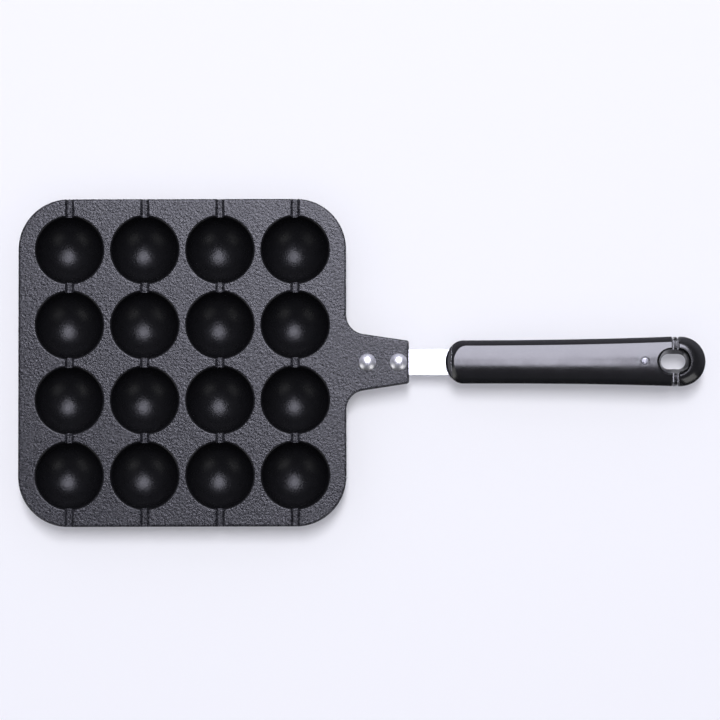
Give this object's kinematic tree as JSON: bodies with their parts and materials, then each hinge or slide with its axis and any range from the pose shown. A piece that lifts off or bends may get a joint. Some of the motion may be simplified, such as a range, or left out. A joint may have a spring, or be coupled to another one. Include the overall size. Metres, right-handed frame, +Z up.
{
  "type": "takoyaki pan",
  "caption": "Square cast pan with round wells joined by channels, on flat feet, with a riveted flat strap and a moulded black handle with a hang hole.",
  "frame": {"origin": "middle of the whole pan's bounding box, on the surface that its feet stand on", "axes": "+X along the handle, away from the plate; +Y along the channels; +Z up, out of the wells"},
  "size_m": [0.3836, 0.183, 0.0247],
  "materials": {
    "nonstick_aluminium": "cast, with a dark grey finely pebbled non-stick coating",
    "rivet_aluminium": "bare, satin",
    "strap_steel": "polished flat bar",
    "collar_black": "black, satin",
    "grip_black": "black moulded, glossy",
    "loop_black": "black moulded, glossy",
    "screw_steel": "plated",
    "nut_steel": "plated"
  },
  "bodies": {
    "root": {"pan_body": "nonstick_aluminium", "inner_rivet": "rivet_aluminium", "outer_rivet": "rivet_aluminium", "handle_strap": "strap_steel", "front_collar": "collar_black", "handle_grip": "grip_black", "hanging_loop": "loop_black", "grip_screw": "screw_steel", "screw_nut": "nut_steel"}
  },
  "joints": []
}
